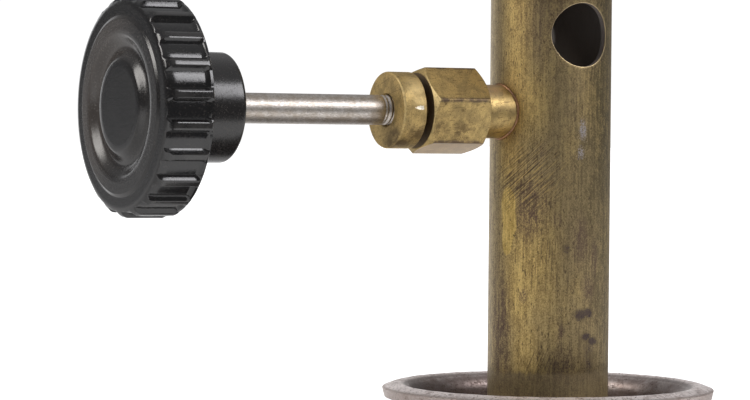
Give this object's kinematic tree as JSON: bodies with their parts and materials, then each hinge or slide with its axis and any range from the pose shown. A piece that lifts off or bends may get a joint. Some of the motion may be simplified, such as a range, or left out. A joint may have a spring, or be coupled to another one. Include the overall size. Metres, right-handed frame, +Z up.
{
  "type": "bunsen burner",
  "caption": "Brass bench burner tube on a round foot, with air holes and sliding air sleeve, a spill dish, and a side needle valve worked by a ribbed knob on a long stem.",
  "frame": {"origin": "on the bench, on the axis of the burner tube", "axes": "+Z up along the burner tube, -X along the needle valve towards the knob, -Y out of the front air hole"},
  "size_m": [0.1236, 0.09, 0.17],
  "materials": {
    "tube_brass": "tarnished, streaked and scratched",
    "valve_brass": "machined, lightly stained",
    "sleeve_brass": "turned, lightly tarnished",
    "brass_bright": "machined",
    "dish_steel": "worn plating, heat stained inside",
    "stem_steel": "ground",
    "knob_black": "moulded, glossy, lightly worn",
    "foot_enamel": "stoved enamel over the casting",
    "fibre": "vulcanised fibre, matt",
    "packing": "graphited packing, matt"
  },
  "bodies": {
    "burner": {"base_foot": "foot_enamel", "gas_inlet": "brass_bright", "inlet_washer": "fibre", "tube_socket": "brass_bright", "socket_washer": "fibre", "dish": "dish_steel", "dish_gasket": "fibre", "base_seal": "fibre", "base_washer": "stem_steel", "base_nut": "brass_bright", "burner_tube": "tube_brass", "valve_block": "brass_bright", "gas_jet": "brass_bright", "valve_body": "valve_brass", "gland_nut": "valve_brass", "packing_washer": "brass_bright", "gland_packing": "packing"},
    "needle": {"valve_needle": "stem_steel"},
    "control": {"valve_spindle": "stem_steel", "knob": "knob_black", "knob_insert": "brass_bright", "knob_grub_screw": "stem_steel"},
    "air_control": {"air_sleeve": "sleeve_brass", "sleeve_spring": "stem_steel"}
  },
  "joints": [
    {"name": "needle_travel", "type": "slide", "parent": "burner", "child": "needle", "axis": [-1, 0, 0], "range_m": [0, 0.002]},
    {"name": "knob_turn", "type": "hinge", "parent": "needle", "child": "control", "pos_m": [-0.07, 0, 0.0827], "axis": [-1, 0, 0], "range_deg": [0, 900]},
    {"name": "air_sleeve_slide", "type": "slide", "parent": "burner", "child": "air_control", "axis": [0, 0, -1], "range_m": [0, 0.013]}
  ],
  "couplings": [
    {"joint": "knob_turn", "follows": "needle_travel", "rad_per_m": 7854}
  ]
}
